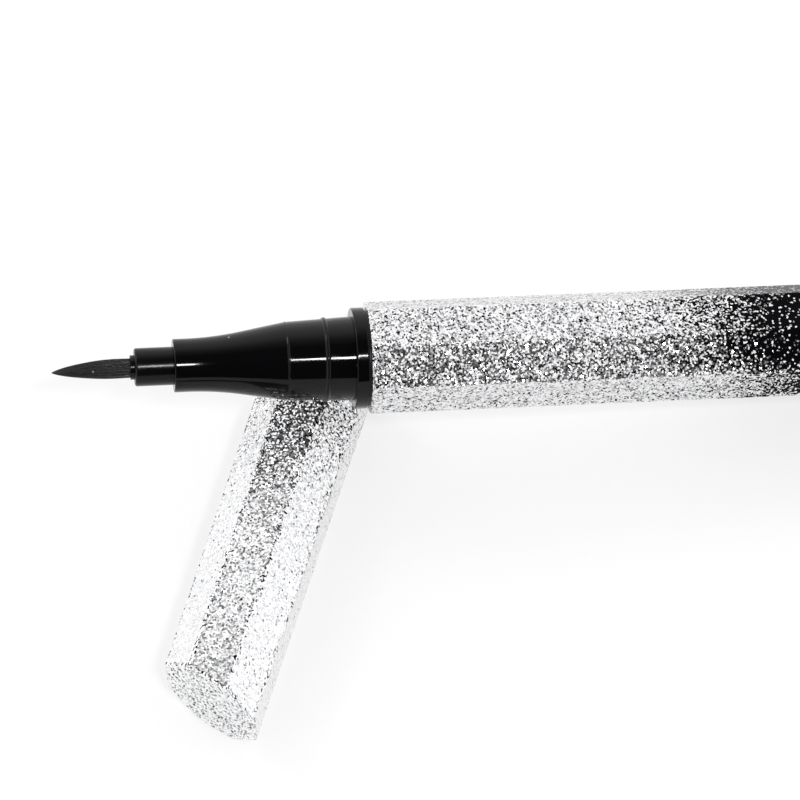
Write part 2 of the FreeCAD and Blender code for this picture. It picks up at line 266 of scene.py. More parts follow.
# %% Black nozzle: outside
NOSE_FRONT = -17.6
NOSE_R = 2.62
NOSE_ROUND = 0.14
FLARE_FOOT = -13.7
FLARE_TOP = -6.5
FLARE_TOP_R = 3.86
FLARE_BLEND = 31.0
FLARE_BLEND_STEPS = 14
FLARE_LIP = ((-0.1, -0.015), (-0.05, 0.025), (0.01, 0.03), (0.06, 0.004))
GUIDE_ROOT_R = 4.13
BEAD_X = -2.7
BEAD_HALF = 0.25
BEAD_HEIGHT = 0.15
BEAD_FULLNESS = 0.7
BEAD_STEPS = 5


def guide_radius(x):
    return GUIDE_ROOT_R + (GUIDE_ROOT_R - FLARE_TOP_R) * x / -FLARE_TOP


def bead_point(share):
    """Point of the snap bead; share runs from -1 in front to 1 behind."""
    x = BEAD_X + BEAD_HALF * share
    return x, guide_radius(x) + BEAD_HEIGHT * math.cos(share * math.pi / 2) ** BEAD_FULLNESS


flare_angle = math.degrees(math.atan2(FLARE_TOP_R - NOSE_R, FLARE_TOP - FLARE_FOOT))
blend_start = FLARE_FOOT - FLARE_BLEND * math.tan(math.radians(flare_angle / 2))
flare_blend = arc(blend_start, NOSE_R + FLARE_BLEND, FLARE_BLEND, 270, 270 + flare_angle, FLARE_BLEND_STEPS)
flare_lip = [(FLARE_TOP + along, FLARE_TOP_R + out) for along, out in FLARE_LIP]
bead = [bead_point(step / BEAD_STEPS) for step in range(-BEAD_STEPS, BEAD_STEPS + 1)]
print("the flare opens at %.1f degrees" % flare_angle)

# %% Black nozzle: bores and the finished piece
NOSE_BORE_R = 1.9
SPIGOT_R = 3.78
SPIGOT_REAR = 12
SPIGOT_BORE_R = 3.1
SPIGOT_FLOOR = -5.5
FEED_BORE_R = 0.8
SLEEVE_SEAT = -11.18
nozzle_bores = [
    (0, GUIDE_ROOT_R), (0, SPIGOT_R), (SPIGOT_REAR, SPIGOT_R), (SPIGOT_REAR, SPIGOT_BORE_R),
    (SPIGOT_FLOOR, SPIGOT_BORE_R), (SPIGOT_FLOOR, FEED_BORE_R), (SLEEVE_SEAT, FEED_BORE_R),
    (SLEEVE_SEAT, NOSE_BORE_R),
]
nozzle_profile = (
    [(NOSE_FRONT, NOSE_BORE_R)]
    + arc(NOSE_FRONT + NOSE_ROUND, NOSE_R - NOSE_ROUND, NOSE_ROUND, 180, 90)
    + flare_blend
    + flare_lip
    + bead
    + nozzle_bores
)
nozzle = finish_piece(turned("nozzle", nozzle_profile, pen_frame), "pen", "black_gloss", "front_section")

# %% [markdown]
# ## Collar, brush sleeve and tail plug
#
# The collar is a plain turned ring between nozzle and barrel, and the sleeve is the thin tube that holds
# the brush. Both are lathe pieces like the nozzle. The tail plug is octagonal like the barrel, with a
# hollow spigot that is pushed into the bore, so its loops change from octagons to circles on the way.

# %% Collar and sleeve
COLLAR_R = 4.975
COLLAR_WIDTH = 1.25
COLLAR_BORE_R = 3.8
COLLAR_ROUND = 0.12
collar_profile = (
    [(0, COLLAR_BORE_R)]
    + arc(COLLAR_ROUND, COLLAR_R - COLLAR_ROUND, COLLAR_ROUND, 180, 90)
    + arc(COLLAR_WIDTH - COLLAR_ROUND, COLLAR_R - COLLAR_ROUND, COLLAR_ROUND, 90, 0)
    + [(COLLAR_WIDTH, COLLAR_BORE_R)]
)
collar = finish_piece(turned("collar", collar_profile, pen_frame), "pen", "black_gloss", "collar_ring")

SLEEVE_FRONT = -21.4
SLEEVE_REAR = -11.2
SLEEVE_R = 1.875
SLEEVE_MOUTH_R = 1.22
SLEEVE_ROUND = 0.24
SLEEVE_ROUND_STEPS = 8
FERRULE_SEAT = -17.78
sleeve_front = arc(SLEEVE_FRONT + SLEEVE_ROUND, SLEEVE_R - SLEEVE_ROUND, SLEEVE_ROUND, 180, 90,
                   SLEEVE_ROUND_STEPS)
sleeve_bores = [
    (SLEEVE_REAR, SLEEVE_R), (SLEEVE_REAR, FEED_BORE_R), (FERRULE_SEAT, FEED_BORE_R),
    (FERRULE_SEAT, SLEEVE_MOUTH_R),
]
sleeve_profile = [(SLEEVE_FRONT, SLEEVE_MOUTH_R)] + sleeve_front + sleeve_bores
sleeve = finish_piece(turned("brush_sleeve", sleeve_profile, pen_frame), "pen", "black_satin", "tip_sleeve")

# %% Tail plug
BARREL_FLATS = 10.4
BARREL_REAR = 92.45
TAIL_ROUND = 0.3
TAIL_SPIGOT_FRONT = 86.45
TAIL_SPIGOT_R = 4.48
TAIL_SPIGOT_BORE_R = 3.58
ROUND_STEPS = 5
ROUND_TURNS = [math.pi / 2 * step / ROUND_STEPS for step in range(ROUND_STEPS + 1)]


def rounded_end(x_end, inwards, size, across_flats, corner_radius):
    """Loops that round an octagonal end over from its facets to its face."""
    loops = []
    for turn in ROUND_TURNS:
        inset = size * (1 - math.cos(turn))
        x = x_end + inwards * size * (1 - math.sin(turn))
        loops.append(octagon_loop(x, across_flats - 2 * inset, max(corner_radius - inset, LEAST_RADIUS)))
    return loops


spigot_steps = [
    (BARREL_REAR, TAIL_SPIGOT_R), (TAIL_SPIGOT_FRONT, TAIL_SPIGOT_R),
    (TAIL_SPIGOT_FRONT, TAIL_SPIGOT_BORE_R), (BARREL_REAR, TAIL_SPIGOT_BORE_R),
]
tail_loops = (
    rounded_end(COLLAR_TO_TAIL, -1, TAIL_ROUND, BARREL_FLATS, EDGE_RADIUS)[::-1]
    + [octagon_loop(BARREL_REAR, BARREL_FLATS, EDGE_RADIUS)]
    + [circle_loop(x, r, OCTAGON_ANGLES) for x, r in spigot_steps]
)
tail_piece = finish_piece(skin("tail_cap", tail_loops, pen_frame), "pen", "black_gloss", "tail_plug")

# %% [markdown]
# ## Barrel and cap
#
# Both are octagonal tubes with softly rounded long edges. The barrel is a straight prism; the cap tapers a
# little towards its closed end, which is cut off at a slant. A boolean cut would leave a ragged edge to
# round, so for the slanted end every point of a loop is slid along the cap's axis until it lies on the
# cutting plane, and the facets stay perfectly flat.

# %% Barrel
BARREL_FRONT = 1.45
BARREL_BORE_R = 4.5
END_ROUND = 0.15
barrel_loops = (
    [circle_loop(BARREL_FRONT, BARREL_BORE_R, OCTAGON_ANGLES)]
    + rounded_end(BARREL_FRONT, 1, END_ROUND, BARREL_FLATS, EDGE_RADIUS)[::-1]
    + [octagon_loop(BARREL_REAR, BARREL_FLATS, EDGE_RADIUS)]
    + [circle_loop(BARREL_REAR, BARREL_BORE_R, OCTAGON_ANGLES)]
)
barrel_skin = skin("barrel", barrel_loops, pen_frame, closed=True)
barrel = finish_piece(barrel_skin, "pen", "barrel_glitter", "barrel_shell")

# %% Cap
CAP_LENGTH = 39.9
CAP_MOUTH_FLATS = 10.5
CAP_END_FLATS = 10.0
CAP_SLANT = math.tan(math.radians(20))
CAP_BORE_R = 4.63
CAP_FLOOR = -37.3
CAP_INSET = 0.04
UNIT_FLATS = 2
SLIDES = 4


def cap_flats(x):
    return CAP_MOUTH_FLATS + (CAP_MOUTH_FLATS - CAP_END_FLATS) * x / CAP_LENGTH


def slanted_loop(lift, inset):
    """Rounded octagon on the slanted end plane, moved along the axis by lift and drawn in by inset."""
    loop = []
    unit_radius = max(EDGE_RADIUS - inset, LEAST_RADIUS) / (NOMINAL_FLATS / 2)
    for y, z in octagon_outline(UNIT_FLATS, unit_radius):
        x = -CAP_LENGTH
        for _ in range(SLIDES):
            half = cap_flats(x) / 2 - inset
            x = -CAP_LENGTH + CAP_INSET + lift + CAP_SLANT * y * half
        loop.append((x, y * half, z * half))
    return loop


cap_mouth = -CAP_INSET / 2
end_steps = [(END_ROUND * (1 - math.sin(t)), END_ROUND * (1 - math.cos(t))) for t in ROUND_TURNS]
cap_loops = (
    [slanted_loop(lift, inset) for lift, inset in reversed(end_steps)]
    + rounded_end(cap_mouth, -1, END_ROUND, CAP_MOUTH_FLATS, EDGE_RADIUS)
    + [circle_loop(x, CAP_BORE_R, OCTAGON_ANGLES) for x in (cap_mouth, CAP_FLOOR)]
)
cap = finish_piece(skin("cap", cap_loops, cap_frame), "cap", "cap_glitter", "cap_shell")

# %% [markdown]
# ## Brush
#
# The tip is a bundle of fine synthetic bristles, damp with ink, so it holds together in one pointed form.
# A single smooth cone would look like a felt tip, and hair particles don't survive an export. Instead a
# dark core gives the form, and a few hundred thin tapered bristles lie on and in it, each keeping its own
# place in the bundle from root to point. A sunflower spiral spreads the roots evenly, and a seeded random
# keeps every run the same.

# %% Form of the bundle
BRUSH_ROOT = -21.8
BRUSH_REACH = 7.63
BRUSH_SAG = 0.1
BRUSH_DROOP = 0.28
BRUSH_ROOT_R = 0.95
BRUSH_BELLY_R = 1.0
BRUSH_BELLY_SHARE = 0.3
BRUSH_TIP_R = 0.06
TAPER_START = 2.6
TAPER_END = 0.85


def bundle_radius(share):
    swell = math.sin(math.pi / 2 * min(max(share, 0) / BRUSH_BELLY_SHARE, 2))
    full = BRUSH_ROOT_R + (BRUSH_BELLY_R - BRUSH_ROOT_R) * swell
    taper = (1 - max(share, 0) ** TAPER_START) ** TAPER_END
    return BRUSH_TIP_R + (full - BRUSH_TIP_R) * taper


def bundle_point(share, depth, turn):
    """Place in the bundle: share along it, depth from axis 0 to skin 1, and turn about the axis."""
    radius = bundle_radius(share) * depth
    drop = BRUSH_SAG + BRUSH_DROOP * max(share, 0) ** 2
    along = BRUSH_ROOT - BRUSH_REACH * share
    return Vector((along, radius * math.cos(turn), radius * math.sin(turn) - drop))


brush_points = []
brush_faces = []


def add_tube(path, radii, sides):
    """Append a thin closed tube to the brush's mesh."""
    start = len(brush_points)
    for centre, radius in zip(path, radii):
        for side in range(sides):
            turn = 2 * math.pi * side / sides
            across = radius * math.cos(turn)
            upwards = radius * math.sin(turn)
            brush_points.append((centre.x, centre.y + across, centre.z + upwards))
    for row in range(len(path) - 1):
        here = start + row * sides
        for side in range(sides):
            after = (side + 1) % sides
            brush_faces.append((here + side, here + after, here + sides + after, here + sides + side))
    brush_faces.append(tuple(start + side for side in reversed(range(sides))))
    last = start + (len(path) - 1) * sides
    brush_faces.append(tuple(last + side for side in range(sides)))


# %% Core of the brush
BURIED_SHARE = 0.35
CORE_FILL = 0.9
CORE_STEPS = 20
CORE_SIDES = 40
CORE_CROWDING = 1.5
core_shares = [-BURIED_SHARE] + [1 - (1 - n / CORE_STEPS) ** CORE_CROWDING for n in range(CORE_STEPS + 1)]
core_path = [bundle_point(share, 0, 0) for share in core_shares]
core_radii = [bundle_radius(share) * CORE_FILL for share in core_shares]
add_tube(core_path, core_radii, CORE_SIDES)
print("brush core:", len(brush_points), "points")

# %% Single bristles
BRISTLES = 340
BRISTLE_SIDES = 5
BRISTLE_STEPS = 12
BRISTLE_CROWDING = 1.4
BRISTLE_R = 0.05
BRISTLE_R_SPREAD = 0.012
BRISTLE_THINNING = 0.8
BRISTLE_THINNING_EASE = 1.5
BRISTLE_WIDEST = 0.4
REACH_SPREAD = 0.06
SKIN_REACH_SPREAD = 0.05
SWAY = 0.06
GOLDEN_TURN = math.pi * (3 - math.sqrt(5))
dice = random.Random(7)
for number in range(BRISTLES):
    depth = math.sqrt((number + 0.5) / BRISTLES)
    turn = number * GOLDEN_TURN
    reach = 1 - REACH_SPREAD * dice.random() - SKIN_REACH_SPREAD * depth * dice.random()
    thick = BRISTLE_R + BRISTLE_R_SPREAD * dice.random()
    sway = SWAY * (dice.random() - 0.5)
    path = []
    radii = []
    for step in range(BRISTLE_STEPS + 1):
        share = -BURIED_SHARE + (reach + BURIED_SHARE) * (1 - (1 - step / BRISTLE_STEPS) ** BRISTLE_CROWDING)
        thinned = thick * (1 - BRISTLE_THINNING * max(share, 0) ** BRISTLE_THINNING_EASE)
        radius = min(thinned, bundle_radius(share) * BRISTLE_WIDEST)
        inside = max(bundle_radius(share) - radius, 0) / bundle_radius(share)
        path.append(bundle_point(share, depth * inside, turn + sway * max(share, 0)))
        radii.append(radius)
    add_tube(path, radii, BRISTLE_SIDES)

brush_mesh = bpy.data.meshes.new("brush")
brush_mesh.from_pydata([pen_frame @ (Vector(point) * MM) for point in brush_points], [], brush_faces)
brush_mesh.shade_smooth()
brush = bpy.data.objects.new("brush", brush_mesh)
scene.collection.objects.link(brush)
face_outwards(brush)
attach(brush, "pen")
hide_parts("brush_bristles")

# %% [markdown]
# ## Small helpers for materials
#
# Node trees get long, so a few helpers keep them readable. One adds any node and feeds its inputs, and
# four more wrap the nodes that turn up again and again: a sum, a map from one range to another, a colour
# ramp and a mix of two colours. They hand back a socket, so that one line can feed the next. Materials are
# built from plain nodes and from groups that several of them share.

# %% Helpers for single nodes
SETTING = "set_"
MIX_COLOUR_A = 6
MIX_COLOUR_B = 7
MIX_RESULT = 2


def feed(tree, socket, value):
    """Link a socket to another one, or set its plain value."""
    if isinstance(value, bpy.types.NodeSocket):
        tree.links.new(value, socket)
    else:
        socket.default_value = value


def add_node(tree, kind, **inputs):
    """New node; set_ marks a setting, in0 or in1 an input by number, and the rest are inputs by name."""
    node = tree.nodes.new(kind)
    for key, value in inputs.items():
        if key.startswith(SETTING):
            setattr(node, key.removeprefix(SETTING), value)
    for key, value in inputs.items():
        if key.startswith("in") and key[2:].isdigit():
            feed(tree, node.inputs[int(key[2:])], value)
        elif not key.startswith(SETTING):
            feed(tree, node.inputs[key.replace("_", " ")], value)
    return node


def reckon(tree, operation, first, second=None):
    """Math node on one or two values; hands back its result."""
    node = add_node(tree, "ShaderNodeMath", set_operation=operation, in0=first)
    if second is not None:
        feed(tree, node.inputs[1], second)
    return node.outputs[0]


def remap(tree, value, source=(0.0, 1.0), target=(0.0, 1.0), smooth=False):
    """Map a value from one range to another, straight or with soft ends."""
    node = add_node(tree, "ShaderNodeMapRange", set_interpolation_type="SMOOTHSTEP" if smooth else "LINEAR",
                    Value=value, From_Min=source[0], From_Max=source[1], To_Min=target[0], To_Max=target[1])
    return node.outputs["Result"]


def ramp(tree, value, stops, interpolation="LINEAR"):
    """Colour ramp through stops of a place and a grey or a colour."""
    node = add_node(tree, "ShaderNodeValToRGB", Fac=value)
    node.color_ramp.interpolation = interpolation
    elements = node.color_ramp.elements
    while len(elements) < len(stops):
        elements.new(0.5)
    for element, (spot, tone) in zip(elements, stops):
        element.position = spot
        element.color = (*tone, 1) if isinstance(tone, tuple) else (tone, tone, tone, 1)
    return node.outputs["Color"]


def mix_colours(tree, share, first, second):
    """Mix two colours by a share that changes over the surface."""
    node = add_node(tree, "ShaderNodeMix", set_data_type="RGBA", in0=share)
    feed(tree, node.inputs[MIX_COLOUR_A], first)
    feed(tree, node.inputs[MIX_COLOUR_B], second)
    return node.outputs[MIX_RESULT]


# %% Helpers for materials and groups
FLOAT = "NodeSocketFloat"
COLOUR = "NodeSocketColor"
VECTOR = "NodeSocketVector"


def new_material(name):
    material = bpy.data.materials.new(name)
    material.use_nodes = True
    tree = material.node_tree
    tree.nodes.clear()
    output = tree.nodes.new("ShaderNodeOutputMaterial")
    shader = tree.nodes.new("ShaderNodeBsdfPrincipled")
    tree.links.new(shader.outputs["BSDF"], output.inputs["Surface"])
    return material, tree, shader


def new_group(name, inputs, outputs):
    """Shader node group; inputs are (name, kind, default), outputs (name, kind)."""
    group = bpy.data.node_groups.new(name, "ShaderNodeTree")
    for label, kind, default in inputs:
        socket = group.interface.new_socket(name=label, in_out="INPUT", socket_type=kind)
        if default is not None:
            socket.default_value = default
    for label, kind in outputs:
        group.interface.new_socket(name=label, in_out="OUTPUT", socket_type=kind)
    start = group.nodes.new("NodeGroupInput")
    end = group.nodes.new("NodeGroupOutput")
    return group, start, end


def place_group(tree, group, **inputs):
    return add_node(tree, "ShaderNodeGroup", set_node_tree=group, **inputs)


def object_place(tree):
    """Texture coordinates in metres, which for every piece here are those of the frame."""
    return tree.nodes.new("ShaderNodeTexCoord").outputs["Object"]


def own_place(tree, own_frame):
    """Texture coordinates in a working frame, in metres from its origin."""
    node = add_node(tree, "ShaderNodeMapping", set_vector_type="TEXTURE", Vector=object_place(tree),
                    Location=own_frame.to_translation(), Rotation=own_frame.to_euler())
    return node.outputs["Vector"]


def dress(material, *pieces):
    for piece in pieces:
        piece.data.materials.clear()
        piece.data.materials.append(material)
    print(material.name, "on", [piece.name for piece in pieces])


# %% [markdown]
# ## Glitter
#
# The barrel and the cap carry fine silver flakes in clear lacquer. Each flake is a tiny mirror that lies a
# little askew, so neighbouring flakes show quite different parts of the room: one is white, the next one
# nearly black. Single flakes as geometry would be far too many, and a noise has no flat spots, so a Voronoi
# texture gives them: its cells are the flakes, and its random cell colour deals out what differs from flake
# to flake. A flake whose lot is above the coverage is missing and leaves a dark speck of bare lacquer,
# which also thins the flakes out for the black fade. A few flakes are pink, blue or green, as foil is.

# %% Glitter group: which flakes there are, and their colour
FLAKE_SIZE = 0.17
FLAKE_TILT = 0.75
FLAKE_DULLEST = 0.7
FLAKE_LOTS = (-0.1, 0.5)
FLAKE_TINTS = (
    (0.0, (0.96, 0.74, 0.81)),
    (0.01, (0.74, 0.81, 0.96)),
    (0.025, (0.8, 0.9, 0.75)),
    (0.032, (0.95, 0.95, 0.955)),
    (0.6, (0.91, 0.915, 0.93)),
)
BARE_LACQUER = (0.003, 0.003, 0.0035, 1)
glitter, g_in, g_out = new_group(
    "glitter flakes",
    [("Vector", VECTOR, None), ("Flake Size", FLOAT, FLAKE_SIZE), ("Coverage", FLOAT, 1.0),
     ("Bare", FLOAT, 0.0), ("Tilt", FLOAT, FLAKE_TILT), ("Flake Brightness", FLOAT, 1.0),
     ("Dullest Flake", FLOAT, FLAKE_DULLEST)],
    [("Colour", COLOUR), ("Metal", FLOAT), ("Roughness", FLOAT), ("Normal", VECTOR)],
)
per_metre = reckon(glitter, "DIVIDE", 1 / MM, g_in.outputs["Flake Size"])
cells = add_node(glitter, "ShaderNodeVectorMath", set_operation="SCALE", Vector=g_in.outputs["Vector"],
                 Scale=per_metre)
flake = add_node(glitter, "ShaderNodeTexVoronoi", set_feature="F1", Vector=cells.outputs[0], Scale=1.0)
lot = add_node(glitter, "ShaderNodeSeparateColor", Color=flake.outputs["Color"])
left_over = reckon(glitter, "SUBTRACT", g_in.outputs["Coverage"], g_in.outputs["Bare"])
present = reckon(glitter, "LESS_THAN", lot.outputs["Red"], left_over)
tint = ramp(glitter, lot.outputs["Blue"], FLAKE_TINTS, "CONSTANT")
worth = remap(glitter, lot.outputs["Green"], FLAKE_LOTS, (g_in.outputs["Dullest Flake"], 1.0), smooth=True)
bright = reckon(glitter, "MULTIPLY", worth, g_in.outputs["Flake Brightness"])
graded = add_node(glitter, "ShaderNodeVectorMath", set_operation="SCALE", Vector=tint, Scale=bright)
colour = mix_colours(glitter, present, BARE_LACQUER, graded.outputs[0])
glitter.links.new(colour, g_out.inputs["Colour"])
print("glitter group:", len(glitter.nodes), "nodes for the colour")

# %% [markdown]
# The second half of the group says how each flake shines and lies. A second random, drawn once per cell,
# leans the surface normal by the tilt; because the whole cell shares one normal, it mirrors as one flat
# piece. A bump would round every flake off, and then none of them would flash.

# %% Glitter group: how each flake shines and lies
FLAKE_METAL = (0.9, 1.0)
FLAKE_ROUGHNESS = (0.06, 0.22)
MIDDLE = (0.5, 0.5, 0.5)
chance = add_node(glitter, "ShaderNodeTexWhiteNoise", Vector=flake.outputs["Position"])
shiny = remap(glitter, lot.outputs["Blue"], target=FLAKE_METAL)
metal = reckon(glitter, "MULTIPLY", present, shiny)
rough = remap(glitter, chance.outputs["Value"], target=FLAKE_ROUGHNESS)
askew = add_node(glitter, "ShaderNodeVectorMath", set_operation="SUBTRACT", in0=chance.outputs["Color"],
                 in1=MIDDLE)
tilt_here = reckon(glitter, "MULTIPLY", present, g_in.outputs["Tilt"])
lean = add_node(glitter, "ShaderNodeVectorMath", set_operation="SCALE", Vector=askew.outputs[0],
                Scale=tilt_here)
surface = glitter.nodes.new("ShaderNodeNewGeometry")
tipped = add_node(glitter, "ShaderNodeVectorMath", set_operation="ADD", in0=surface.outputs["Normal"],
                  in1=lean.outputs[0])
flat_flake = add_node(glitter, "ShaderNodeVectorMath", set_operation="NORMALIZE", in0=tipped.outputs[0])
glitter.links.new(metal, g_out.inputs["Metal"])
glitter.links.new(rough, g_out.inputs["Roughness"])
glitter.links.new(flat_flake.outputs[0], g_out.inputs["Normal"])
print("glitter group:", len(glitter.nodes), "nodes in all")

# %% [markdown]
# ## Facet edges
#
# The long edges stand out on both pieces. On the cap the lacquer is thin there and some flakes are missing,
# which draws a dotted dark line; on the barrel the edges are a little fuller than the facets. A point near
# an edge is further from the axis than the middle of a facet is, so the distance from the axis, set against
# half the width across flats, is all that a mask needs. No edge has to be marked in the mesh.

# %% Facet edges group
EDGE_STARTS = (1.055, 1.07)
edges, e_in, e_out = new_group(
    "facet edges",
    [("Vector", VECTOR, None), ("Across Flats", FLOAT, BARREL_FLATS)],
    [("Edge", FLOAT)],
)
across_axes = add_node(edges, "ShaderNodeSeparateXYZ", Vector=e_in.outputs["Vector"])
in_plane = add_node(edges, "ShaderNodeCombineXYZ", Y=across_axes.outputs["Y"], Z=across_axes.outputs["Z"])
from_axis = add_node(edges, "ShaderNodeVectorMath", set_operation="LENGTH",
                     Vector=in_plane.outputs["Vector"])
to_facet = reckon(edges, "MULTIPLY", e_in.outputs["Across Flats"], MM / 2)
ratio = reckon(edges, "DIVIDE", from_axis.outputs["Value"], to_facet)
edges.links.new(remap(edges, ratio, EDGE_STARTS, smooth=True), e_out.inputs["Edge"])
print("facet edges group:", len(edges.nodes), "nodes")

# %% [markdown]
# ## Silver glitter on the cap
#
# Both glitter finishes start from one function: flakes for the base, and a thin clear coat over them. The
# cap then gets what only the cap has. Round its slanted end more flakes are left out, on the rim and on the
# end face. Towards the mouth, where the pen's black nozzle lies over the cap, more flakes are left out as
# well. That is painted shade of the nozzle on the cap, and there the rest of the flakes lean further askew.
# Ramps along the cap's own axis are the simplest way to say so, since the axis is at hand.

# %% Flakes in clear lacquer
LACQUER_ROUGHNESS = 0.06
LACQUER_IOR = 1.1


def glitter_material(name, own_frame, edge_loss, brightness, dullest):
    """Flakes in clear lacquer; hands back what the two finishes add their own nodes to."""
    material, tree, shader = new_material(name)
    place = own_place(tree, own_frame)
    rim = place_group(tree, edges, Vector=place)
    bare = reckon(tree, "MULTIPLY", rim.outputs["Edge"], edge_loss)
    flakes = place_group(tree, glitter, Vector=place, Bare=bare, Flake_Brightness=brightness,
                         Dullest_Flake=dullest)
    tree.links.new(flakes.outputs["Colour"], shader.inputs["Base Color"])
    tree.links.new(flakes.outputs["Metal"], shader.inputs["Metallic"])
    tree.links.new(flakes.outputs["Roughness"], shader.inputs["Roughness"])
    tree.links.new(flakes.outputs["Normal"], shader.inputs["Normal"])
    shader.inputs["Specular IOR Level"].default_value = 0.0
    shader.inputs["Coat Weight"].default_value = 1.0
    shader.inputs["Coat Roughness"].default_value = LACQUER_ROUGHNESS
    shader.inputs["Coat IOR"].default_value = LACQUER_IOR
    axes = add_node(tree, "ShaderNodeSeparateXYZ", Vector=place)
    return material, tree, axes, rim, bare, flakes


# %% Cap's silver glitter
CAP_EDGE_LOSS = 0.16
CAP_BRIGHTNESS = 1.03
CAP_DULLEST = 0.7
CAP_END_BAND = 0.5
# Round the slanted end more flakes are left out, which makes the rim and the end face darker.
CAP_END_LOSS = ((0.0, 0.18), (0.16, 0.18), (0.3, 0.36), (0.55, 0.36), (0.9, 0.0))
# Towards the mouth, under the nozzle, more flakes are left out: painted shade of the black nozzle on the
# cap.
CAP_MOUTH_PAINTED_SHADE = ((0.1, 0.003), (0.45, 0.014), (0.66, 0.03), (0.88, 0.13))
CAP_TILT = ((0.1, 0.42), (0.55, 0.56), (0.72, 1.0), (0.86, 1.7))
cap_end = -CAP_LENGTH * MM
cap_glitter, tree, axes, rim, bare, flakes = glitter_material(
    "silver glitter", cap_frame, CAP_EDGE_LOSS, CAP_BRIGHTNESS, CAP_DULLEST)
width = remap(tree, axes.outputs["X"], (cap_end, 0.0), (CAP_END_FLATS, CAP_MOUTH_FLATS))
tree.links.new(width, rim.inputs["Across Flats"])
slant = reckon(tree, "MULTIPLY", axes.outputs["Y"], CAP_SLANT)
from_end = reckon(tree, "SUBTRACT", axes.outputs["X"], slant)
end_gap = remap(tree, from_end, (cap_end, (CAP_END_BAND - CAP_LENGTH) * MM))
along_cap = remap(tree, axes.outputs["X"], (cap_end, 0.0))
# The flakes missing round the end, plus the painted shade of the nozzle near the mouth.
losses_and_painted_shade = reckon(tree, "ADD", ramp(tree, end_gap, CAP_END_LOSS), ramp(tree, along_cap, CAP_MOUTH_PAINTED_SHADE))
tree.links.new(reckon(tree, "ADD", losses_and_painted_shade, bare), flakes.inputs["Bare"])
tree.links.new(ramp(tree, along_cap, CAP_TILT), flakes.inputs["Tilt"])
dress(cap_glitter, cap)

# %% [markdown]
# ## Fade to black on the barrel
#
# Some 25 mm behind the collar the flakes begin to thin out, and at 46 mm only stray ones are left on the
# black lacquer. A mix of silver and black would turn grey on the way; thinning the flakes themselves keeps
# every one of them bright, so the coverage follows the place along the barrel. On the facet that faces the
# front the flakes reach a little further back.

# %% Barrel's faded glitter
BARREL_EDGE_LOSS = -0.08
BARREL_BRIGHTNESS = 0.94
BARREL_DULLEST = 0.28
FRONT_FACET = (-4.2 * MM, -5.1 * MM)
FRONT_LAG = 5.5 * MM
FADE_SPAN = (20 * MM, 50 * MM)
FADE_COVERAGE = ((0.17, 0.9), (0.87, 0.03))
barrel_glitter, tree, axes, _, _, flakes = glitter_material(
    "faded glitter", pen_frame, BARREL_EDGE_LOSS, BARREL_BRIGHTNESS, BARREL_DULLEST)
lag = remap(tree, axes.outputs["Y"], FRONT_FACET, (0.0, FRONT_LAG), smooth=True)
behind = reckon(tree, "SUBTRACT", axes.outputs["X"], lag)
coverage = ramp(tree, remap(tree, behind, FADE_SPAN), FADE_COVERAGE, "EASE")
tree.links.new(coverage, flakes.inputs["Coverage"])
dress(barrel_glitter, barrel)

# %% [markdown]
# ## Handling marks
#
# Polished black plastic is never perfectly even: fingers leave faint patches, and a few specks of dust
# stick to it. Several materials here need that, so it is a group with amounts: it varies the roughness,
# gives a very low ripple for a bump and puts out a mask of sparse specks. A Voronoi cell that is drawn by
# lot gets one round speck, which looks more like dust than the blots of a noise do.

# %% Handling marks group
SMEAR_SCALE = 420.0
SMEAR_RANGE = (0.35, 0.75)
RIPPLE_SCALE = 900.0
DUST_SCALE = 1400.0
DUST_SIZE = 0.16
marks, m_in, m_out = new_group(
    "handling marks",
    [("Vector", VECTOR, None), ("Roughness", FLOAT, 0.1), ("Spread", FLOAT, 0.1),
     ("Speck Share", FLOAT, 0.02)],
    [("Roughness", FLOAT), ("Height", FLOAT), ("Specks", FLOAT)],
)
smear = add_node(marks, "ShaderNodeTexNoise", Vector=m_in.outputs["Vector"], Scale=SMEAR_SCALE, Detail=3.0,
                 Roughness=0.6)
smear_share = remap(marks, smear.outputs["Fac"], SMEAR_RANGE)
smear_spread = reckon(marks, "MULTIPLY", smear_share, m_in.outputs["Spread"])
smear_rough = reckon(marks, "ADD", smear_spread, m_in.outputs["Roughness"])
ripple = add_node(marks, "ShaderNodeTexNoise", Vector=m_in.outputs["Vector"], Scale=RIPPLE_SCALE, Detail=2.0)
dust = add_node(marks, "ShaderNodeTexVoronoi", set_feature="F1", Vector=m_in.outputs["Vector"],
                Scale=DUST_SCALE)
dust_lot = add_node(marks, "ShaderNodeSeparateColor", Color=dust.outputs["Color"])
dust_here = reckon(marks, "LESS_THAN", dust_lot.outputs["Red"], m_in.outputs["Speck Share"])
dust_dot = reckon(marks, "LESS_THAN", dust.outputs["Distance"], DUST_SIZE)
marks.links.new(smear_rough, m_out.inputs["Roughness"])
marks.links.new(ripple.outputs["Fac"], m_out.inputs["Height"])
marks.links.new(reckon(marks, "MULTIPLY", dust_here, dust_dot), m_out.inputs["Specks"])
print("handling marks group:", len(marks.nodes), "nodes")

# %% [markdown]
# ## Moulded plastics
#
# Nozzle, collar and tail plug are polished black, the sleeve and the cap's liner satin black, and inside
# are natural white, a dark tank, rubber seals and a fibre rod. They differ in colour, gloss and ripple, not
# in kind, so one function makes them all. The black is a very deep one: on the real pen only reflections
# show on it. The carried-over solids keep their CAD meshes and only get a finish.

# %% Moulded plastics
MOULDED_GLOSS = 0.2
RIPPLE_DEPTH = 0.02 * MM


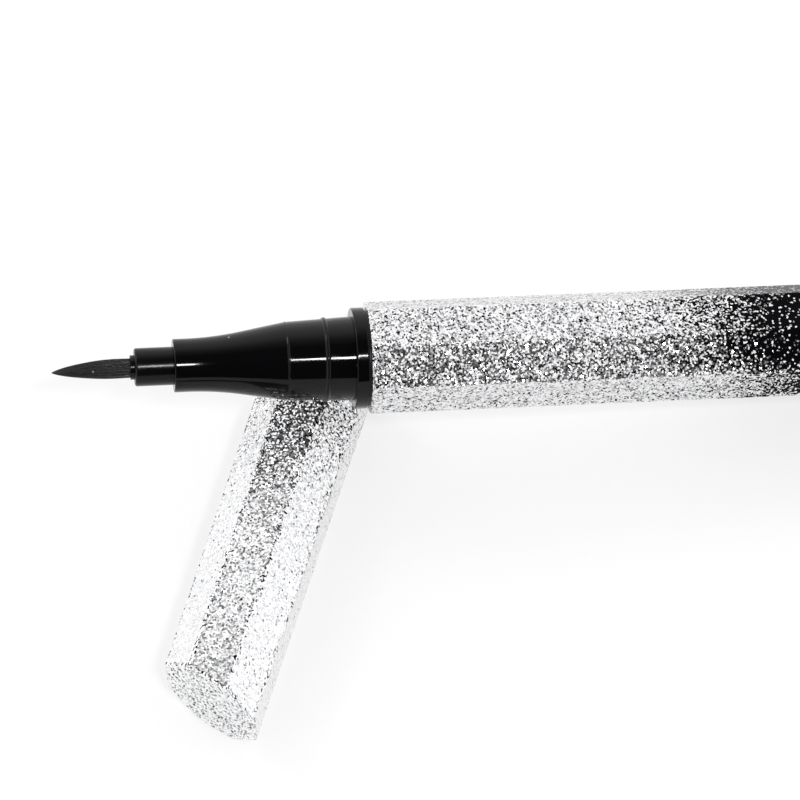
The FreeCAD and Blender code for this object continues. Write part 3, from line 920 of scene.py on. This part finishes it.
def moulded(name, colour, speck_colour, roughness, spread, speck_share, bump):
    """Moulded plastic or rubber with handling marks, a low ripple and a little dust."""
    material, tree, shader = new_material(name)
    worn = place_group(tree, marks, Vector=object_place(tree), Roughness=roughness, Spread=spread,
                       Speck_Share=speck_share)
    dusty = mix_colours(tree, worn.outputs["Specks"], (*colour, 1), (*speck_colour, 1))
    ripple = add_node(tree, "ShaderNodeBump", Strength=bump, Distance=RIPPLE_DEPTH,
                      Height=worn.outputs["Height"])
    tree.links.new(dusty, shader.inputs["Base Color"])
    tree.links.new(worn.outputs["Roughness"], shader.inputs["Roughness"])
    tree.links.new(ripple.outputs["Normal"], shader.inputs["Normal"])
    shader.inputs["Specular IOR Level"].default_value = MOULDED_GLOSS
    return material


gloss_black = moulded("polished black", (0.0018, 0.0018, 0.0022), (0.3, 0.3, 0.32),
                      roughness=0.05, spread=0.07, speck_share=0.018, bump=0.12)
satin_black = moulded("satin black", (0.0022, 0.0022, 0.0026), (0.35, 0.35, 0.36),
                      roughness=0.13, spread=0.14, speck_share=0.012, bump=0.25)
inner_white = moulded("natural white", (0.78, 0.78, 0.76), (0.6, 0.6, 0.58),
                      roughness=0.35, spread=0.15, speck_share=0.01, bump=0.2)
tank_dark = moulded("tank plastic", (0.02, 0.02, 0.022), (0.1, 0.1, 0.1),
                    roughness=0.3, spread=0.15, speck_share=0.01, bump=0.2)
rubber = moulded("seal rubber", (0.025, 0.025, 0.026), (0.12, 0.12, 0.12),
                 roughness=0.55, spread=0.15, speck_share=0.02, bump=0.4)
fibre = moulded("ink fibre", (0.03, 0.03, 0.034), (0.08, 0.08, 0.09),
                roughness=0.65, spread=0.2, speck_share=0.05, bump=0.6)
dress(gloss_black, nozzle, collar, tail_piece)
dress(satin_black, sleeve, nodes["brush_ferrule"], nodes["cap_liner"])
dress(inner_white, nodes["collector"], nodes["inner_cap"])
dress(tank_dark, nodes["ink_tank"])
dress(rubber, nodes["collector_seal"], nodes["cap_gasket"])
dress(fibre, nodes["feed_rod"])

# %% [markdown]
# ## Bristles and steel
#
# The bristles are black nylon with ink on them: mostly matt, with tiny glints where a bristle is wet. A
# noise that is stretched along the bundle decides how wet it is, and a few pale specks in the colour are
# painted glints.
# The stirring ball is polished steel; the handling marks serve as its fine scuffs.

# %% Bristles
STRAND_SCALE = (900.0, 5200.0, 5200.0)
WET_FROM = (0.42, 0.62)
WET_ROUGHNESS = (0.6, 0.22)
INK_DEEP = (0.003, 0.003, 0.004, 1)
INK_PALE = (0.014, 0.014, 0.016, 1)
# Pale specks in the bristles' base colour are painted glints of wet bristles.
PAINTED_GLINT = (0.3, 0.3, 0.33, 1)
PAINTED_GLINT_SHARE = 0.15
bristle, tree, shader = new_material("inked bristle")
stretch = add_node(tree, "ShaderNodeMapping", Vector=own_place(tree, pen_frame), Scale=STRAND_SCALE)
strands = add_node(tree, "ShaderNodeTexNoise", Vector=stretch.outputs["Vector"], Scale=1.0, Detail=2.0)
ink = mix_colours(tree, strands.outputs["Fac"], INK_DEEP, INK_PALE)
glint_specks = place_group(tree, marks, Vector=object_place(tree), Speck_Share=PAINTED_GLINT_SHARE)
tree.links.new(mix_colours(tree, glint_specks.outputs["Specks"], ink, PAINTED_GLINT), shader.inputs["Base Color"])
tree.links.new(remap(tree, strands.outputs["Fac"], WET_FROM, WET_ROUGHNESS), shader.inputs["Roughness"])
dress(bristle, brush)

# %% Steel ball
STEEL_DARK = (0.5, 0.5, 0.52, 1)
STEEL_LIGHT = (0.68, 0.68, 0.7, 1)
steel, tree, shader = new_material("ball steel")
scuffs = place_group(tree, marks, Vector=object_place(tree), Roughness=0.12, Spread=0.2, Speck_Share=0.03)
shade = mix_colours(tree, scuffs.outputs["Height"], STEEL_DARK, STEEL_LIGHT)
tree.links.new(shade, shader.inputs["Base Color"])
tree.links.new(scuffs.outputs["Roughness"], shader.inputs["Roughness"])
shader.inputs["Metallic"].default_value = 1.0
dress(steel, nodes["stirring_ball"])

# %% [markdown]
# ## Table
#
# The object lies on a plain white table. More light would bleach the pen with it, so the white comes from
# the table itself: to the camera, and in reflections, a part of it glows at exactly white, and the rest is
# ordinary matt white, which keeps a soft shadow under the pen. For the light that the table sends back to
# the pen it is plain matt white.

# %% Table
TABLE_HALF = 3.0
TABLE_DROP = 0.05 * MM
TABLE_WHITE = (0.98, 0.98, 0.98, 1)
TABLE_GLOW = 0.6
table_corners = [(x * TABLE_HALF, y * TABLE_HALF, 0) for x, y in ((-1, -1), (1, -1), (1, 1), (-1, 1))]
table_mesh = bpy.data.meshes.new("table")
table_mesh.from_pydata(table_corners, [], [(0, 1, 2, 3)])
table = bpy.data.objects.new("table", table_mesh)
table.location.z = -TABLE_DROP
scene.collection.objects.link(table)

paper = bpy.data.materials.new("table white")
paper.use_nodes = True
tree = paper.node_tree
tree.nodes.clear()
paper_out = tree.nodes.new("ShaderNodeOutputMaterial")
matt = add_node(tree, "ShaderNodeBsdfDiffuse", Color=TABLE_WHITE)
glow = add_node(tree, "ShaderNodeEmission", Color=(1, 1, 1, 1), Strength=1.0)
seen = tree.nodes.new("ShaderNodeLightPath")
direct = reckon(tree, "MAXIMUM", seen.outputs["Is Camera Ray"], seen.outputs["Is Glossy Ray"])
direct = reckon(tree, "MAXIMUM", direct, seen.outputs["Is Transmission Ray"])
glow_share = reckon(tree, "MULTIPLY", direct, TABLE_GLOW)
both = add_node(tree, "ShaderNodeMixShader", Fac=glow_share, in1=matt.outputs[0], in2=glow.outputs[0])
tree.links.new(both.outputs[0], paper_out.inputs["Surface"])
dress(paper, table)

# %% [markdown]
# ## Studio
#
# A glossy black pen shows the room it lies in, so the room matters as much as the pen. It is drawn in the
# world's background by direction. A pale wall behind the table fades into a dark ceiling, which leaves the
# middle of the nozzle deep black. A white tent stands on both sides, with a dark slot over the pen: the
# round nozzle mirrors only the slot, while the leaning flakes of the glitter reach the tent and turn white.
# The tent is open in front, except far out at the sides, so that the barrel's front facet stays darker
# than its top. Large soft boxes could do the same, but their edges would show in the gloss.

# %% Room
WALL_STOPS = ((0.0, 1.2), (0.17, 1.2), (0.24, 1.1), (0.3, 0.8), (0.37, 0.36), (0.47, 0.06), (1.0, 0.03))
SLOT_MIDDLE = 0.03
SLOT_EDGE = (0.23, 0.34)
TENT_FRONT = (-0.68, -0.36)
TENT_FRONT_SHARE = (0.03, 1.0)
TENT_SIDE = (0.4, 0.52)
TENT_WHITE = (1.15, 1.15, 1.16, 1)
world = bpy.data.worlds.new("studio")
scene.world = world
world.use_nodes = True
tree = world.node_tree
tree.nodes.clear()
world_out = tree.nodes.new("ShaderNodeOutputWorld")
outlook = tree.nodes.new("ShaderNodeTexCoord")
way = add_node(tree, "ShaderNodeSeparateXYZ", Vector=outlook.outputs["Generated"])
rise = reckon(tree, "ARCTAN2", way.outputs["Z"], way.outputs["Y"])
walls = ramp(tree, reckon(tree, "DIVIDE", rise, math.pi), WALL_STOPS)
aside = reckon(tree, "ABSOLUTE", reckon(tree, "SUBTRACT", way.outputs["X"], SLOT_MIDDLE))
off_slot = remap(tree, aside, SLOT_EDGE, smooth=True)
tent_front = remap(tree, way.outputs["Y"], TENT_FRONT, TENT_FRONT_SHARE, smooth=True)
tent_side = remap(tree, aside, TENT_SIDE, smooth=True)
tent_share = reckon(tree, "MULTIPLY", off_slot, reckon(tree, "MAXIMUM", tent_front, tent_side))
room_colour = mix_colours(tree, tent_share, walls, TENT_WHITE)
air = add_node(tree, "ShaderNodeBackground", Color=room_colour, Strength=1.0)
tree.links.new(air.outputs[0], world_out.inputs["Surface"])
print("room:", len(tree.nodes), "nodes")

# %% [markdown]
# Three lamps finish the light. A soft key behind the pen, to the left, throws the shadow towards the front.
# The other two are small and stand where the black guide and the nose mirror them to the camera, so each
# draws one thin bright line. A lamp is given by its brightness, as a photographer sees it, and its power
# follows from its size.

# %% Lamps
def lamp(name, direction, distance, size, radiance):
    """Area lamp that faces the middle of the scene; its power follows from its brightness and size."""
    data = bpy.data.lights.new(name, "AREA")
    data.shape = "RECTANGLE"
    data.size, data.size_y = size
    data.energy = radiance * math.pi * size[0] * size[1]
    item = bpy.data.objects.new(name, data)
    outwards = Vector(direction).normalized()
    item.location = outwards * distance
    item.rotation_mode = "QUATERNION"
    item.rotation_quaternion = outwards.to_track_quat("Z", "Y")
    scene.collection.objects.link(item)
    print("%s: %.2f W" % (name, data.energy))


lamp("back_key", (-0.5, 0.5, 0.72), distance=1.0, size=(0.3, 0.3), radiance=4.0)
lamp("line_lamp", (0.16, -0.488, 0.86), distance=0.8, size=(0.12, 0.03), radiance=110.0)
lamp("nose_lamp", (0.13, -0.535, 0.835), distance=0.8, size=(0.05, 0.04), radiance=90.0)
